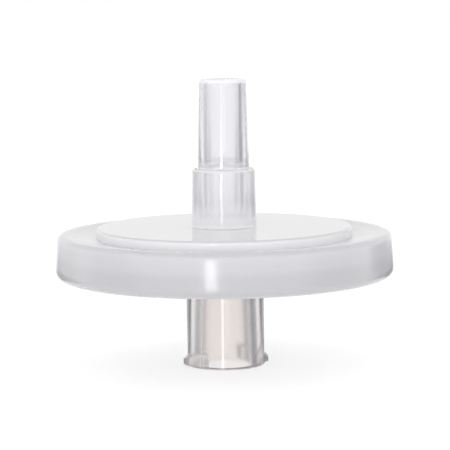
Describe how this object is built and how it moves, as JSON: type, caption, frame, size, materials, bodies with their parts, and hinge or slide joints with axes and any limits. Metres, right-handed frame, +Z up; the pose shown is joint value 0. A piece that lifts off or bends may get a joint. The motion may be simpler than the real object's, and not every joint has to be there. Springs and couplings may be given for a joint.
{
  "type": "syringe filter",
  "caption": "Disposable disc filter for a syringe: female luer inlet with lugs below, clamped membrane inside, male luer slip outlet on top.",
  "frame": {"origin": "centre of the inlet mouth's flat end face, which the filter stands on", "axes": "+Z up along the common axis of both luer fittings, from the inlet to the outlet; the two inlet lugs lie on the X axis"},
  "size_m": [0.0288, 0.0288, 0.0245],
  "materials": {
    "inlet_plastic": "natural translucent polypropylene, moulded gloss",
    "outlet_plastic": "natural translucent polypropylene, moulded gloss",
    "band_plastic": "natural translucent polypropylene, satin gloss",
    "membrane": "matt white microporous sheet"
  },
  "bodies": {
    "root": {"inlet_housing": "inlet_plastic", "outlet_housing": "outlet_plastic", "sealing_band": "band_plastic", "filter_membrane": "membrane"}
  },
  "joints": []
}
